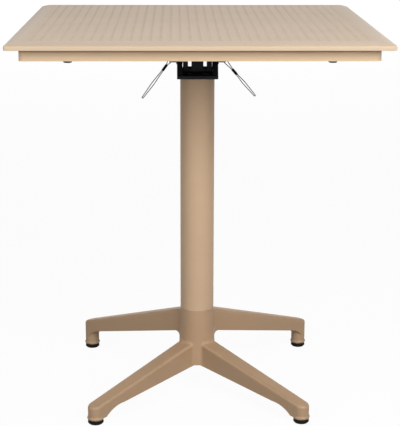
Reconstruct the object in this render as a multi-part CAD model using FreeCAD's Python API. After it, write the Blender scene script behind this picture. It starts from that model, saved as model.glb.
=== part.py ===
import FreeCAD, Part
import math
import os

from FreeCAD import Vector

# Folding balcony table: a moulded square top that tilts on a flip hinge, a round column and a
# cast four-leg base with two low front legs and two high rear legs, so that tables nest.
# Millimetres. +Z is up, -Y is the front, and the origin is on the floor under the column.

# Overall sizes
TABLE_HEIGHT = 750.0
TOP_SIDE = 670.0
COLUMN_DIAMETER = 67.6
COLUMN_WALL = 2.5

# Moulded top
DECK_THICKNESS = 5.0
RIM_DEPTH = 13.0
RIM_WALL = 6.5
RIM_CORNER_RADIUS = 9.0
RIM_TOP_RADIUS = 6.5
RIM_LOWER_RADIUS = 4.5
SKIRT_SETBACK = 22.6
SKIRT_DEPTH = 33.8
SKIRT_WALL = 4.0
SKIRT_CORNER_RADIUS = 8.0
RIB_THICKNESS = 3.0
RIB_CELLS = 10
RIB_DEPTH = 23.0
BOSS_RADIUS = 8.5
BUMPER_X = 228.6
BUMPER_INSET = 9.5
BUMPER_RADIUS = 7.7
BUMPER_HEIGHT = 3.4
BUMPER_STEM_RADIUS = 2.6
BUMPER_STEM_LENGTH = 10.0
BUMPER_HOLE_DEPTH = 11.0
BUMPER_CHAMFER = 1.2

# Flip hinge: heights are on the table, half widths are measured from its middle plane
COLLAR_UNDERSIDE = 642.2
COLLAR_THICKNESS = 6.7
COLLAR_HALF_DEPTH = 41.0
COLLAR_CORNER_RADIUS = 2.0
CHEEK_OUTER = 40.0
CHEEK_INNER = 29.4
EAR_OUTER = 28.2
EAR_INNER = 18.5
LUG_HALF = 11.5
PIVOT_Y = -10.0
PIVOT_Z = 656.2
BARREL_RADIUS = 7.0
EAR_STEP_HEIGHT = 36.0
EAR_ROOT_FRONT = -46.0
EAR_ROOT_BACK = 52.0
EAR_WAIST = (4.0, 28.0)
CHEEK_CROWN_RADIUS = 12.0
CHEEK_FOOT_FRONT = -36.0
CHEEK_FOOT_BACK = 30.0
AXLE_CHAMFER = 0.6
AXLE_HALF_LENGTH = 39.8
AXLE_RADIUS = 4.0
BUSH_BORE_RADIUS = 4.05
BUSH_OUTER_RADIUS = 4.98
BUSH_FLANGE_RADIUS = 6.2
BUSH_FLANGE_END = 29.1
FIT = 0.02
LOCK_RADIUS = 16.0
LOCK_HOLE_RADIUS = 3.7
FLANGE_THICKNESS = 5.0
FLANGE_HALF = 75.0
FLANGE_CORNER_RADIUS = 12.0
SCREW_RADIUS = 2.5
SCREW_HEAD_RADIUS = 5.0
SCREW_HEAD_HEIGHT = 3.4
SCREW_GRIP = 14.0
SCREW_CLEARANCE = 0.4
SCREW_HEAD_CHAMFER = 1.5
SCREW_POINT = 1.0

# Lock pins, drawn back as far as they go
PIN_RADIUS = 3.5
PIN_CLEARANCE = 0.05
PIN_CHAMFER = 0.8
PIN_TIP = 28.7
PIN_SHOULDER = 36.75
PIN_ROD_RADIUS = 1.5
PIN_ROD_CLEARANCE = 0.1
SLEEVE_RADIUS = 5.0
SLEEVE_START = 29.8
SLEEVE_END = 41.4
SLEEVE_END_WALL = 1.25
SLEEVE_CHAMFER = 0.4
EYE_X = 52.0
EYE_OUTER_RADIUS = 3.2
EYE_HOLE_RADIUS = 1.5
EYE_THICKNESS = 2.2
EYE_NECK = 2.3
SPRING_START = 37.2
SPRING_LENGTH = 2.5
SPRING_TURNS = 2
SPRING_RADIUS = 2.8
SPRING_WIRE_RADIUS = 0.4

# Wire pull loops
WIRE_RADIUS = 0.9
LOOP_EYE_RADIUS = 3.4
LOOP_LENGTH = 89.0
LOOP_BELLY = 54.0
LOOP_BELLY_HALF = 2.5
LOOP_TIP_HALF = 1.25
LOOP_STRAND_OFFSET = 1.15
LOOP_BEND_RADII = (6.0, 18.0, 60.0, 1.1)
FERRULE_LEAD_IN = 1.6
FERRULE_LEAD_OUT = 2.4
FERRULE_LENGTH = 14.0
FERRULE_RADIUS = 2.7
FERRULE_START = {"left": 7.6, "right": 19.4}
LOOP_HANG_DEG = {"left": 53.5, "right": 49.3}

# Cast base
SEAM_Z = 165.0
HUB_BOTTOM = 50.0
HUB_BOTTOM_RADIUS = 38.0
HUB_CAVITY_RADIUS = 31.0
HUB_CAVITY_DRAFT = 3.0
HUB_WEB = 25.0
SPIGOT_CLEARANCE = 0.2
SPIGOT_LENGTH = 32.0
SPIGOT_WALL = 5.0
SPIGOT_ROOF = 8.0
SPIGOT_FLOOR = 4.0
BOSS_BOTTOM = 10.0
LIP_HEIGHT = 6.0
LIP_FLARE = 3.4
LIP_EXTRA = 1.7
LIP_CHAMFER = 0.6
LEG_TOP_RADIUS = 6.0
LEG_SHELL = 5.0
CHANNEL_START = 52.0
STEM_RADIUS = 4.0
STEM_BORE_RADIUS = 4.1
STEM_TOP = 32.0
STEM_BORE_TOP = 33.0
ROOT_SECTOR_DEG = 35.0
HEEL_LIFT = 2.0
HEEL_MIDDLE = (0.3, 0.62)
REAR_HEEL_RADIUS = 38.0
REAR_HEEL_REACH = 0.5
BOSS_OVERLAP = 4.0
SEAM_CHAMFER = 0.7

# Levelling glides
GLIDE_RADIUS = 15.2
GLIDE_HEIGHT = 9.6
GLIDE_STEM_SEAT = 2.5
GLIDE_CHAMFER = 2.6
GLIDE_SHOULDER = 5.4
GLIDE_NECK_INSET = 1.4

# Tie rod that clamps the base, the tube and the hinge head together
TIE_ROD_RADIUS = 6.0
TIE_ROD_HOLE_RADIUS = 6.3
WASHER_RADIUS = 14.0
WASHER_THICKNESS = 3.0
NUT_FLATS = 19.0
NUT_HEIGHT = 10.0
TIE_ROD_TAIL = 5.0
TIE_ROD_GAP = 1.0
WASHER_CLEARANCE = 0.3


class Leg:
    """One cast leg, in a frame whose X axis runs outwards along the leg."""

    def __init__(self, foot, root_width, foot_width, top_at_hub, top_slope,
                 under_at_hub, under_slope, heel, root_fillet):
        self.foot = foot
        self.reach = math.hypot(foot[0], foot[1])
        self.turn = math.degrees(math.atan2(foot[1], foot[0]))
        self.root_width = root_width
        self.foot_width = foot_width
        self.top_at_hub = top_at_hub
        self.top_slope = top_slope
        self.under_at_hub = under_at_hub
        self.under_slope = under_slope
        self.heel = heel
        self.root_fillet = root_fillet

    def top(self, r):
        return self.top_at_hub - self.top_slope * (r - HUB_BOTTOM_RADIUS)

    def under(self, r):
        return self.under_at_hub - self.under_slope * (r - HUB_BOTTOM_RADIUS)


FRONT_FOOT = (198.7, -208.7)
REAR_FOOT = (230.5, 208.7)
FRONT_SHAPE = dict(root_width=38.0, foot_width=29.6, top_at_hub=95.0, top_slope=0.2196,
                   under_at_hub=47.5, under_slope=0.0995, heel=62.0, root_fillet=8.0)
REAR_SHAPE = dict(root_width=38.0, foot_width=29.6, top_at_hub=154.9, top_slope=0.3317,
                  under_at_hub=108.6, under_slope=0.257, heel=0.0, root_fillet=10.0)
LEGS = {
    "front_left": Leg((-FRONT_FOOT[0], FRONT_FOOT[1]), **FRONT_SHAPE),
    "front_right": Leg(FRONT_FOOT, **FRONT_SHAPE),
    "rear_left": Leg((-REAR_FOOT[0], REAR_FOOT[1]), **REAR_SHAPE),
    "rear_right": Leg(REAR_FOOT, **REAR_SHAPE),
}

# Sizes that follow from those above
TOP_HALF = TOP_SIDE / 2
DECK_UNDERSIDE = TABLE_HEIGHT - DECK_THICKNESS
RIM_BOTTOM = TABLE_HEIGHT - RIM_DEPTH
SKIRT_BOTTOM = TABLE_HEIGHT - SKIRT_DEPTH
SKIRT_HALF = TOP_HALF - SKIRT_SETBACK
SKIRT_INNER = SKIRT_HALF - SKIRT_WALL
RIB_BOTTOM = DECK_UNDERSIDE - RIB_DEPTH
RIB_PITCH = 2 * SKIRT_INNER / RIB_CELLS
FLANGE_UNDERSIDE = RIB_BOTTOM - FLANGE_THICKNESS
COLLAR_TOP = COLLAR_UNDERSIDE + COLLAR_THICKNESS
LOCK_Z = PIVOT_Z + LOCK_RADIUS
COLUMN_RADIUS = COLUMN_DIAMETER / 2
TUBE_BORE = COLUMN_RADIUS - COLUMN_WALL
SPIGOT_RADIUS = TUBE_BORE - SPIGOT_CLEARANCE
HUB_TOP = SEAM_Z - SEAM_CHAMFER
HUB_WEB_BOTTOM = SEAM_Z - HUB_WEB
BUMPER_Y = SKIRT_HALF - BUMPER_INSET
SIDES = ("left", "right")

X_AXIS = Vector(1, 0, 0)
Y_AXIS = Vector(0, 1, 0)
Z_AXIS = Vector(0, 0, 1)
ORIGIN = Vector(0, 0, 0)
EDGE_TOLERANCE = 0.02


def block(low, high):
    """Box between two corners."""
    size = [b - a for a, b in zip(low, high)]
    return Part.makeBox(size[0], size[1], size[2], Vector(*low))


def upright(x, y, z_low, z_high, radius):
    """Vertical cylinder."""
    return Part.makeCylinder(radius, z_high - z_low, Vector(x, y, z_low), Z_AXIS)


def crosswise(x_low, x_high, y, z, radius):
    """Cylinder along X."""
    return Part.makeCylinder(radius, x_high - x_low, Vector(x_low, y, z), X_AXIS)


def closed_face(edges):
    return Part.Face(Part.Wire(edges))


def line(a, b):
    return Part.LineSegment(a, b).toShape()


def arc(a, middle, b):
    return Part.Arc(a, middle, b).toShape()


def polygon_edges(points):
    return [line(a, b) for a, b in zip(points, points[1:])]


def rounded_rectangle(half_x, half_y, radius, z):
    """Face of a rectangle about the Z axis with rounded corners."""
    slab = block((-half_x, -half_y, z), (half_x, half_y, z + 1))
    corners = [e for e in slab.Edges if abs(e.tangentAt(e.FirstParameter).z) > 0.5]
    slab = slab.makeFillet(radius, corners)
    return min(slab.Faces, key=lambda f: f.CenterOfMass.z)


def revolved(profile, position=ORIGIN, axis=Z_AXIS):
    """Solid of revolution about Z from (radius, height) points, moved to a position."""
    points = [Vector(r, 0, h) for r, h in profile]
    solid = closed_face(polygon_edges(points + points[:1])).revolve(ORIGIN, Z_AXIS, 360)
    if axis == X_AXIS:
        solid.rotate(ORIGIN, Y_AXIS, 90)
    solid.translate(position)
    return solid


def mirrored(shape, side):
    """The shape as built for the right side, or its mirror image on the left."""
    return shape if side == "right" else shape.mirror(ORIGIN, X_AXIS)


def edges_at_height(shape, z):
    return [e for e in shape.Edges if all(abs(v.Z - z) < 1e-6 for v in e.Vertexes)]


def rib_lines():
    return [-SKIRT_INNER + RIB_PITCH * i for i in range(1, RIB_CELLS)]


def corner_points(x, y):
    return [(sx * x, sy * y) for sx in (-1, 1) for sy in (-1, 1)]


def make_tabletop():
    """Moulded top: rounded rim, set-back skirt and a grid of stiffening ribs under the deck."""
    slab = rounded_rectangle(TOP_HALF, TOP_HALF, RIM_CORNER_RADIUS, RIM_BOTTOM)
    slab = slab.extrude(Z_AXIS * RIM_DEPTH)
    slab = slab.makeFillet(RIM_TOP_RADIUS, edges_at_height(slab, TABLE_HEIGHT))
    slab = slab.makeFillet(RIM_LOWER_RADIUS, edges_at_height(slab, RIM_BOTTOM))
    inner_half = TOP_HALF - RIM_WALL
    pocket = rounded_rectangle(inner_half, inner_half, RIM_CORNER_RADIUS - RIM_WALL, RIM_BOTTOM)
    deck = slab.cut(pocket.extrude(Z_AXIS * (DECK_UNDERSIDE - RIM_BOTTOM)))

    outside = rounded_rectangle(SKIRT_HALF, SKIRT_HALF, SKIRT_CORNER_RADIUS, SKIRT_BOTTOM)
    inner_corner = SKIRT_CORNER_RADIUS - SKIRT_WALL
    inside = rounded_rectangle(SKIRT_INNER, SKIRT_INNER, inner_corner, SKIRT_BOTTOM)
    skirt = outside.cut(inside).extrude(Z_AXIS * (DECK_UNDERSIDE - SKIRT_BOTTOM))
    half_rib = RIB_THICKNESS / 2
    ribs = []
    for offset in rib_lines():
        near = offset - half_rib
        far = offset + half_rib
        ribs.append(block((near, -SKIRT_INNER, RIB_BOTTOM), (far, SKIRT_INNER, DECK_UNDERSIDE)))
        ribs.append(block((-SKIRT_INNER, near, RIB_BOTTOM), (SKIRT_INNER, far, DECK_UNDERSIDE)))
    bosses = []
    holes = []
    for x, y in corner_points(RIB_PITCH, RIB_PITCH):
        bosses.append(upright(x, y, RIB_BOTTOM, DECK_UNDERSIDE, BOSS_RADIUS))
        holes.append(upright(x, y, RIB_BOTTOM, RIB_BOTTOM + SCREW_GRIP, SCREW_RADIUS + FIT))
    for x, y in corner_points(BUMPER_X, BUMPER_Y):
        bosses.append(upright(x, y, SKIRT_BOTTOM, DECK_UNDERSIDE, BOSS_RADIUS))
        hole_top = SKIRT_BOTTOM + BUMPER_HOLE_DEPTH
        holes.append(upright(x, y, SKIRT_BOTTOM, hole_top, BUMPER_STEM_RADIUS + FIT))
    return deck.multiFuse([skirt] + ribs + bosses).removeSplitter().cut(holes)


def make_edge_bumpers():
    """Rubber plugs under the skirt that keep stacked or leaning tops apart."""
    plugs = []
    for x, y in corner_points(BUMPER_X, BUMPER_Y):
        profile = [
            (0, -BUMPER_HEIGHT),
            (BUMPER_RADIUS - BUMPER_CHAMFER, -BUMPER_HEIGHT),
            (BUMPER_RADIUS, -BUMPER_HEIGHT + BUMPER_CHAMFER),
            (BUMPER_RADIUS, 0),
            (BUMPER_STEM_RADIUS, 0),
            (BUMPER_STEM_RADIUS, BUMPER_STEM_LENGTH),
            (0, BUMPER_STEM_LENGTH),
        ]
        plugs.append(revolved(profile, Vector(x, y, SKIRT_BOTTOM)))
    return Part.makeCompound(plugs)


def knuckle_profile(x):
    """Outline of a hinge ear of the top bracket, in the plane at x."""

    def at(u, v):
        return Vector(x, PIVOT_Y + u, PIVOT_Z + v)

    reach = FLANGE_UNDERSIDE - PIVOT_Z
    diagonal = BARREL_RADIUS * math.sqrt(0.5)
    r = BARREL_RADIUS
    heel = LOCK_RADIUS
    waist = at(heel + r + EAR_WAIST[0], EAR_WAIST[1])
    edges = [
        line(at(0, -r), at(heel, -r)),
        arc(at(heel, -r), at(heel + diagonal, -diagonal), at(heel + r, 0)),
        line(at(heel + r, 0), waist),
        line(waist, at(EAR_ROOT_BACK, reach)),
        line(at(EAR_ROOT_BACK, reach), at(EAR_ROOT_FRONT, reach)),
        line(at(EAR_ROOT_FRONT, reach), at(-r, EAR_STEP_HEIGHT)),
        line(at(-r, EAR_STEP_HEIGHT), at(-r, 0)),
        arc(at(-r, 0), at(-diagonal, -diagonal), at(0, -r)),
    ]
    return closed_face(edges)


def make_top_bracket():
    """Cast bracket under the top: screwed flange, two locking ears and a middle stop lug."""
    flange = rounded_rectangle(FLANGE_HALF, FLANGE_HALF, FLANGE_CORNER_RADIUS, FLANGE_UNDERSIDE)
    flange = flange.extrude(Z_AXIS * FLANGE_THICKNESS)
    lug = knuckle_profile(-LUG_HALF).extrude(X_AXIS * 2 * LUG_HALF)
    ear_width = EAR_OUTER - EAR_INNER
    ears = [knuckle_profile(x).extrude(X_AXIS * ear_width) for x in (-EAR_OUTER, EAR_INNER)]
    barrel = crosswise(-EAR_OUTER, EAR_OUTER, PIVOT_Y, PIVOT_Z, BARREL_RADIUS)
    bracket = flange.multiFuse([lug, barrel] + ears).removeSplitter()
    holes = [crosswise(-EAR_OUTER, EAR_OUTER, PIVOT_Y, PIVOT_Z, BUSH_OUTER_RADIUS + FIT)]
    for x in (-EAR_OUTER, EAR_INNER):
        holes.append(crosswise(x, x + ear_width, PIVOT_Y, LOCK_Z, LOCK_HOLE_RADIUS))
        holes.append(crosswise(x, x + ear_width, PIVOT_Y + LOCK_RADIUS, PIVOT_Z, LOCK_HOLE_RADIUS))
    for x, y in corner_points(RIB_PITCH, RIB_PITCH):
        holes.append(upright(x, y, FLANGE_UNDERSIDE, RIB_BOTTOM, SCREW_RADIUS + SCREW_CLEARANCE))
    return bracket.cut(holes)


def make_bracket_screws():
    """Pan-head screws that hold the bracket to the top."""
    screws = []
    for x, y in corner_points(RIB_PITCH, RIB_PITCH):
        profile = [
            (0, -SCREW_HEAD_HEIGHT),
            (SCREW_HEAD_RADIUS - SCREW_HEAD_CHAMFER, -SCREW_HEAD_HEIGHT),
            (SCREW_HEAD_RADIUS, -SCREW_HEAD_HEIGHT + SCREW_HEAD_CHAMFER),
            (SCREW_HEAD_RADIUS, 0),
            (SCREW_RADIUS, 0),
            (SCREW_RADIUS, FLANGE_THICKNESS + SCREW_GRIP - SCREW_POINT),
            (0, FLANGE_THICKNESS + SCREW_GRIP),
        ]
        screws.append(revolved(profile, Vector(x, y, FLANGE_UNDERSIDE)))
    return Part.makeCompound(screws)


def tangent_touch(point, centre, radius, turn):
    """Point where the tangent from a point meets a circle, as plane coordinates."""
    across = point[0] - centre[0]
    along = point[1] - centre[1]
    angle = math.atan2(along, across) + turn * math.acos(radius / math.hypot(across, along))
    return (centre[0] + radius * math.cos(angle), centre[1] + radius * math.sin(angle))


def cheek_profile(x):
    """Outline of one fixed cheek: a rounded gable about the lock pin's axis."""
    crown = (PIVOT_Y, LOCK_Z)
    front_foot = (CHEEK_FOOT_FRONT, COLLAR_TOP)
    back_foot = (CHEEK_FOOT_BACK, COLLAR_TOP)
    front_touch = tangent_touch(front_foot, crown, CHEEK_CROWN_RADIUS, -1)
    back_touch = tangent_touch(back_foot, crown, CHEEK_CROWN_RADIUS, 1)
    summit = (crown[0], crown[1] + CHEEK_CROWN_RADIUS)
    front, touch_f, top, touch_b, back = [
        Vector(x, y, z) for y, z in (front_foot, front_touch, summit, back_touch, back_foot)
    ]
    edges = [line(front, touch_f), arc(touch_f, top, touch_b), line(touch_b, back), line(back, front)]
    return closed_face(edges)


def make_column_head():
    """Cast head on the column: spigot in the tube, collar plate and the two hinge cheeks."""
    plate = rounded_rectangle(CHEEK_OUTER, COLLAR_HALF_DEPTH, COLLAR_CORNER_RADIUS, COLLAR_UNDERSIDE)
    plate = plate.extrude(Z_AXIS * COLLAR_THICKNESS)
    spigot_low = COLLAR_UNDERSIDE - SPIGOT_LENGTH
    spigot = upright(0, 0, spigot_low, COLLAR_UNDERSIDE, SPIGOT_RADIUS)
    cheek_width = CHEEK_OUTER - CHEEK_INNER
    cheeks = [cheek_profile(x).extrude(X_AXIS * cheek_width) for x in (-CHEEK_OUTER, CHEEK_INNER)]
    head = plate.multiFuse([spigot] + cheeks).removeSplitter()
    hollow_top = COLLAR_UNDERSIDE - SPIGOT_ROOF
    hollow = upright(0, 0, spigot_low, hollow_top, SPIGOT_RADIUS - SPIGOT_WALL)
    rod_boss = upright(0, 0, spigot_low, hollow_top, 2 * TIE_ROD_RADIUS)
    holes = [
        hollow.cut(rod_boss),
        upright(0, 0, spigot_low, COLLAR_UNDERSIDE, TIE_ROD_RADIUS + FIT),
        crosswise(-CHEEK_OUTER, CHEEK_OUTER, PIVOT_Y, PIVOT_Z, AXLE_RADIUS + FIT),
        crosswise(-CHEEK_OUTER, CHEEK_OUTER, PIVOT_Y, LOCK_Z, SLEEVE_RADIUS + FIT),
    ]
    return head.cut(holes)


def make_hinge_axle():
    """Plain axle held in the cheeks, with chamfered ends."""
    end = AXLE_HALF_LENGTH
    profile = [
        (0, -end),
        (AXLE_RADIUS - AXLE_CHAMFER, -end),
        (AXLE_RADIUS, -end + AXLE_CHAMFER),
        (AXLE_RADIUS, end - AXLE_CHAMFER),
        (AXLE_RADIUS - AXLE_CHAMFER, end),
        (0, end),
    ]
    return revolved(profile, Vector(0, PIVOT_Y, PIVOT_Z), X_AXIS)


def make_hinge_bush(side):
    """Flanged nylon bush in an ear, running on the axle."""
    profile = [
        (BUSH_BORE_RADIUS, EAR_INNER),
        (BUSH_OUTER_RADIUS, EAR_INNER),
        (BUSH_OUTER_RADIUS, EAR_OUTER),
        (BUSH_FLANGE_RADIUS, EAR_OUTER),
        (BUSH_FLANGE_RADIUS, BUSH_FLANGE_END),
        (BUSH_BORE_RADIUS, BUSH_FLANGE_END),
    ]
    return mirrored(revolved(profile, Vector(0, PIVOT_Y, PIVOT_Z), X_AXIS), side)


def make_lock_sleeve(side):
    """Steel sleeve in a cheek that guides the lock pin and holds its spring."""
    wall = SLEEVE_END - SLEEVE_END_WALL
    bore = PIN_RADIUS + PIN_CLEARANCE
    rod_bore = PIN_ROD_RADIUS + PIN_ROD_CLEARANCE
    profile = [
        (bore, SLEEVE_START),
        (SLEEVE_RADIUS, SLEEVE_START),
        (SLEEVE_RADIUS, SLEEVE_END - SLEEVE_CHAMFER),
        (SLEEVE_RADIUS - SLEEVE_CHAMFER, SLEEVE_END),
        (rod_bore, SLEEVE_END),
        (rod_bore, wall),
        (bore, wall),
    ]
    return mirrored(revolved(profile, Vector(0, PIVOT_Y, LOCK_Z), X_AXIS), side)


def make_lock_pin(side):
    """Lock pin with its pull rod and the eye that the wire loop hangs from."""
    profile = [
        (0, PIN_TIP),
        (PIN_RADIUS - PIN_CHAMFER, PIN_TIP),
        (PIN_RADIUS, PIN_TIP + PIN_CHAMFER),
        (PIN_RADIUS, PIN_SHOULDER),
        (PIN_ROD_RADIUS, PIN_SHOULDER),
        (PIN_ROD_RADIUS, EYE_X - EYE_NECK),
        (0, EYE_X - EYE_NECK),
    ]
    pin = revolved(profile, Vector(0, PIVOT_Y, LOCK_Z), X_AXIS)
    low = LOCK_Z - EYE_THICKNESS / 2
    high = LOCK_Z + EYE_THICKNESS / 2
    ring = upright(EYE_X, PIVOT_Y, low, high, EYE_OUTER_RADIUS)
    hole = upright(EYE_X, PIVOT_Y, low, high, EYE_HOLE_RADIUS)
    return mirrored(pin.fuse(ring).cut(hole).removeSplitter(), side)


def helix_point(turn):
    """Point on the middle line of a lock spring, counted in turns."""
    angle = 2 * math.pi * turn
    x = SPRING_START + SPRING_LENGTH * turn / SPRING_TURNS
    y = PIVOT_Y + SPRING_RADIUS * math.cos(angle)
    return Vector(x, y, LOCK_Z + SPRING_RADIUS * math.sin(angle))


def helix_heading(turn):
    """Direction of a lock spring's wire, counted in turns."""
    angle = 2 * math.pi * turn
    rise = SPRING_LENGTH / SPRING_TURNS / (2 * math.pi)
    return Vector(rise, -SPRING_RADIUS * math.sin(angle), SPRING_RADIUS * math.cos(angle)).normalize()


def corner_arc(start, corner, end):
    """Arc that touches the two equal legs of a corner at their ends."""
    inwards = (start + end) * 0.5 - corner
    leg = (start - corner).Length
    cosine = inwards.Length / leg
    sagitta = leg * (1 - math.sqrt(1 - cosine * cosine)) / cosine
    return arc(start, corner + inwards.normalize() * sagitta, end)


def biarc(start, start_heading, end, end_heading):
    """Two arcs that join smoothly and follow the given directions at their ends."""
    chord = end - start
    along = chord.dot(start_heading + end_heading)
    bend = 2 * (1 - start_heading.dot(end_heading))
    leg = (math.sqrt(along * along + bend * chord.dot(chord)) - along) / bend
    first = start + start_heading * leg
    second = end - end_heading * leg
    middle = (first + second) * 0.5
    return [corner_arc(start, first, middle), corner_arc(middle, second, end)]


def make_lock_spring(side):
    """Coil spring between the lock pin's shoulder and the end wall of its sleeve."""
    edges = []
    stops = [quarter / 4 for quarter in range(4 * SPRING_TURNS + 1)]
    for a, b in zip(stops, stops[1:]):
        edges += biarc(helix_point(a), helix_heading(a), helix_point(b), helix_heading(b))
    section = Part.Wire(Part.Circle(helix_point(0), helix_heading(0), SPRING_WIRE_RADIUS).toShape())
    return mirrored(Part.Wire(edges).makePipeShell([section], True, False), side)


def spring_gap():
    """Least gap between the turns of a lock spring, measured on points of its middle line."""
    steps = 24
    points = [helix_point(i / steps) for i in range(SPRING_TURNS * steps + 1)]
    pairs = [(a, b) for i, a in enumerate(points) for b in points[i + steps // 2:]]
    return min((a - b).Length for a, b in pairs) - 2 * SPRING_WIRE_RADIUS


def rounded_path(points, radii):
    """Open wire through points, with an arc of the given radius at each inner point."""
    edges = []
    start = points[0]
    for before, corner, after, radius in zip(points, points[1:], points[2:], radii):
        back = (before - corner).normalize()
        ahead = (after - corner).normalize()
        half = back.getAngle(ahead) / 2
        inwards = (back + ahead).normalize()
        tangent = radius / math.tan(half)
        middle = corner + inwards * (radius / math.sin(half) - radius)
        edges.append(line(start, corner + back * tangent))
        edges.append(arc(corner + back * tangent, middle, corner + ahead * tangent))
        start = corner + ahead * tangent
    edges.append(line(start, points[-1]))
    return Part.Wire(edges)


def hang(shape, side):
    """Turn a shape laid out along X to the angle of its loop and move its eye into the pin's hole."""
    shape.rotate(ORIGIN, Y_AXIS, LOOP_HANG_DEG[side])
    shape.translate(Vector(EYE_X + LOOP_EYE_RADIUS, PIVOT_Y, LOCK_Z))
    return mirrored(shape, side)


def make_pull_loop(side):
    """Wire pull loop: a round eye in the pin's hole, two strands in the ferrule, a narrow tip."""
    entry = (FERRULE_START[side] - FERRULE_LEAD_IN, LOOP_STRAND_OFFSET)
    leave = FERRULE_START[side] + FERRULE_LENGTH + FERRULE_LEAD_OUT
    touch = tangent_touch(entry, (0.0, 0.0), LOOP_EYE_RADIUS, 1)
    outline = [
        touch,
        entry,
        (leave, LOOP_STRAND_OFFSET),
        (LOOP_BELLY, LOOP_BELLY_HALF),
        (LOOP_LENGTH, LOOP_TIP_HALF),
        (LOOP_LENGTH, 0),
    ]
    strand = rounded_path([Vector(x, 0, z) for x, z in outline], LOOP_BEND_RADII)
    back = Vector(-LOOP_EYE_RADIUS, 0, 0)
    half_turn = (math.pi + math.atan2(touch[1], touch[0])) / 2
    middle = Vector(math.cos(half_turn), 0, math.sin(half_turn)) * LOOP_EYE_RADIUS
    eye = arc(back, middle, Vector(touch[0], 0, touch[1]))
    section = Part.Wire(Part.Circle(back, Z_AXIS, WIRE_RADIUS).toShape())
    half = Part.Wire([eye] + strand.Edges).makePipeShell([section], True, False)
    return hang(half.fuse(half.mirror(ORIGIN, Z_AXIS)).removeSplitter(), side)


def make_loop_ferrule(side):
    """Black sleeve crimped over the two strands of a pull loop."""
    start = FERRULE_START[side]
    ferrule = crosswise(start, start + FERRULE_LENGTH, 0, 0, FERRULE_RADIUS)
    for z in (-LOOP_STRAND_OFFSET, LOOP_STRAND_OFFSET):
        ferrule = ferrule.cut(crosswise(start, start + FERRULE_LENGTH, 0, z, WIRE_RADIUS + FIT))
    return hang(ferrule, side)


def make_column_tube():
    """Round column between the base's hub and the collar."""
    profile = [
        (TUBE_BORE, SEAM_Z),
        (COLUMN_RADIUS - SEAM_CHAMFER, SEAM_Z),
        (COLUMN_RADIUS, SEAM_Z + SEAM_CHAMFER),
        (COLUMN_RADIUS, COLLAR_UNDERSIDE),
        (TUBE_BORE, COLLAR_UNDERSIDE),
    ]
    return revolved(profile)


def leg_plan(leg, shrink, start, end, rounded):
    """Plan outline of a leg, drawn in by shrink, between two distances from the column."""

    def half_width(r):
        return (leg.root_width + (leg.foot_width - leg.root_width) * r / leg.reach) / 2 - shrink

    near = half_width(start)
    if rounded:
        touch = tangent_touch((start, near), (end, 0.0), half_width(end), -1)
    else:
        touch = (end, half_width(end))
    corners = [
        Vector(touch[0], touch[1], 0),
        Vector(start, near, 0),
        Vector(start, -near, 0),
        Vector(touch[0], -touch[1], 0),
    ]
    edges = polygon_edges(corners)
    if rounded:
        edges.append(arc(corners[-1], Vector(end + half_width(end), 0, 0), corners[0]))
    else:
        edges.append(line(corners[-1], corners[0]))
    return closed_face(edges).extrude(Z_AXIS * 2 * SEAM_Z)


def leg_side(leg):
    """Side outline of a leg, extruded across it: straight top, sloping underside, curved heel."""
    width = 2 * leg.root_width
    end = leg.reach + leg.foot_width

    def at(r, z):
        return Vector(r, -leg.root_width, z)

    points = [at(0, leg.under(0)), at(0, leg.top(0)), at(end, leg.top(end))]
    if leg.heel:
        heel_start = leg.reach - leg.heel
        heel_top = leg.under(heel_start)
        boss_edge = leg.reach - leg.foot_width / 2
        points += [at(end, BOSS_BOTTOM + HEEL_LIFT), at(boss_edge, BOSS_BOTTOM + HEEL_LIFT)]
        edges = polygon_edges(points)
        middle_r = boss_edge + HEEL_MIDDLE[0] * (heel_start - boss_edge)
        middle_z = BOSS_BOTTOM + HEEL_MIDDLE[1] * (heel_top - BOSS_BOTTOM)
        last = at(heel_start, heel_top)
        edges.append(arc(points[-1], at(middle_r, middle_z), last))
    else:
        centre_r = leg.reach + REAR_HEEL_REACH - REAR_HEEL_RADIUS
        centre_z = leg.under(centre_r) - REAR_HEEL_RADIUS * math.hypot(1, leg.under_slope)
        foot_z = BOSS_BOTTOM + HEEL_LIFT
        foot_angle = math.asin((foot_z - centre_z) / REAR_HEEL_RADIUS)
        root_angle = math.atan2(1, leg.under_slope)
        foot, middle, last = [
            at(centre_r + REAR_HEEL_RADIUS * math.cos(a), centre_z + REAR_HEEL_RADIUS * math.sin(a))
            for a in (foot_angle, (foot_angle + root_angle) / 2, root_angle)
        ]
        points += [at(end, foot_z), foot]
        edges = polygon_edges(points)
        edges.append(arc(foot, middle, last))
    edges.append(line(last, points[0]))
    return closed_face(edges).extrude(Y_AXIS * width)


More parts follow.
